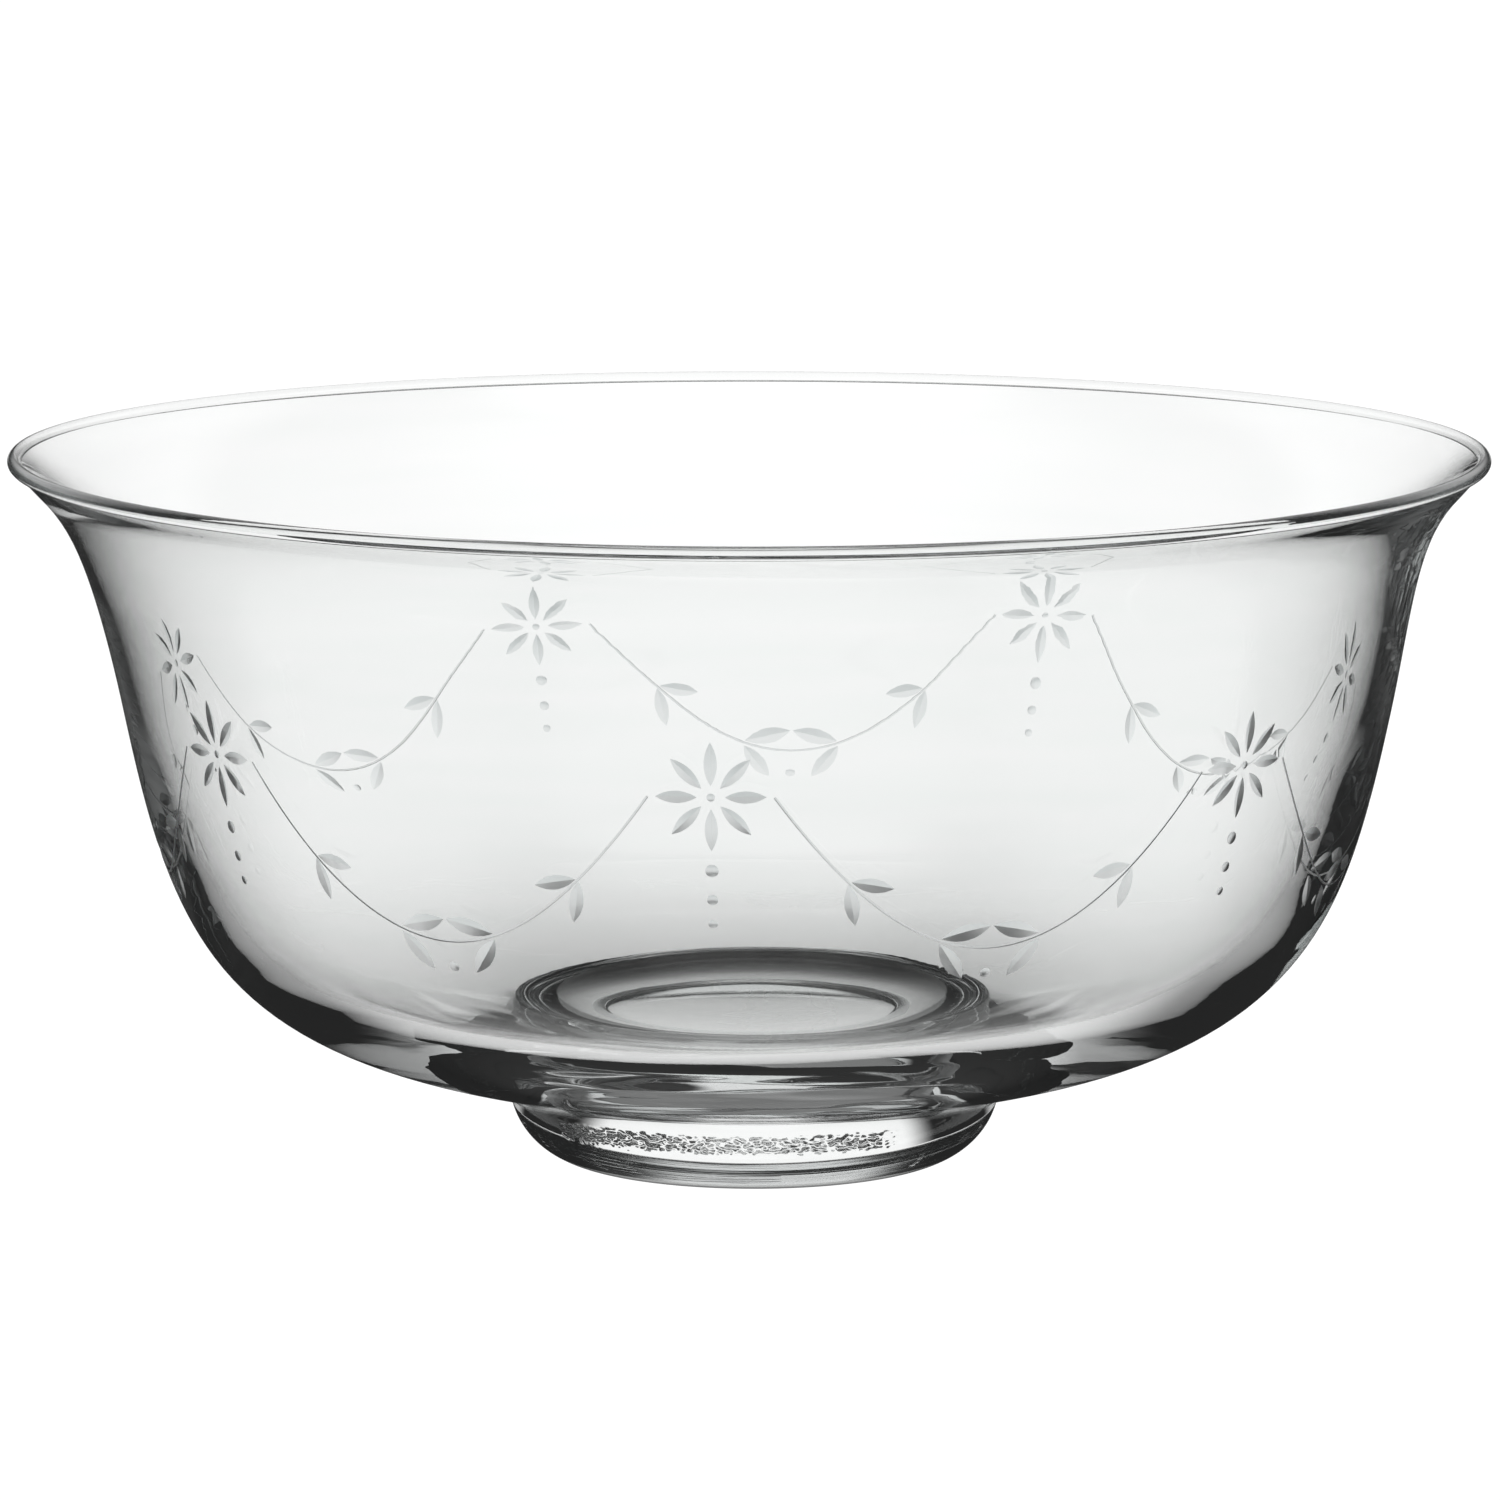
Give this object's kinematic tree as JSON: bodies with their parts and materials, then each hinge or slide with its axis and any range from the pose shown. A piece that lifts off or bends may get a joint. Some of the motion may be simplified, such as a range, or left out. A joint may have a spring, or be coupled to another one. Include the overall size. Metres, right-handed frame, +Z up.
{
  "type": "salad bowl",
  "caption": "Footed serving bowl of clear blown glass, with a flared rim, a deep rounded belly and a low solid foot, for salad at table.",
  "frame": {"origin": "centre of the ring that the foot stands on, in the plane of the table", "axes": "+Z up along the axis that both pieces are turned about; the bowl is alike all round, so +X and +Y are free"},
  "size_m": [0.255, 0.255, 0.1236],
  "materials": {
    "bowl_glass": "clear fire-polished glass",
    "foot_glass": "clear fire-polished glass, ground flat on the standing ring"
  },
  "bodies": {
    "root": {"bowl": "bowl_glass", "foot": "foot_glass"}
  },
  "joints": []
}
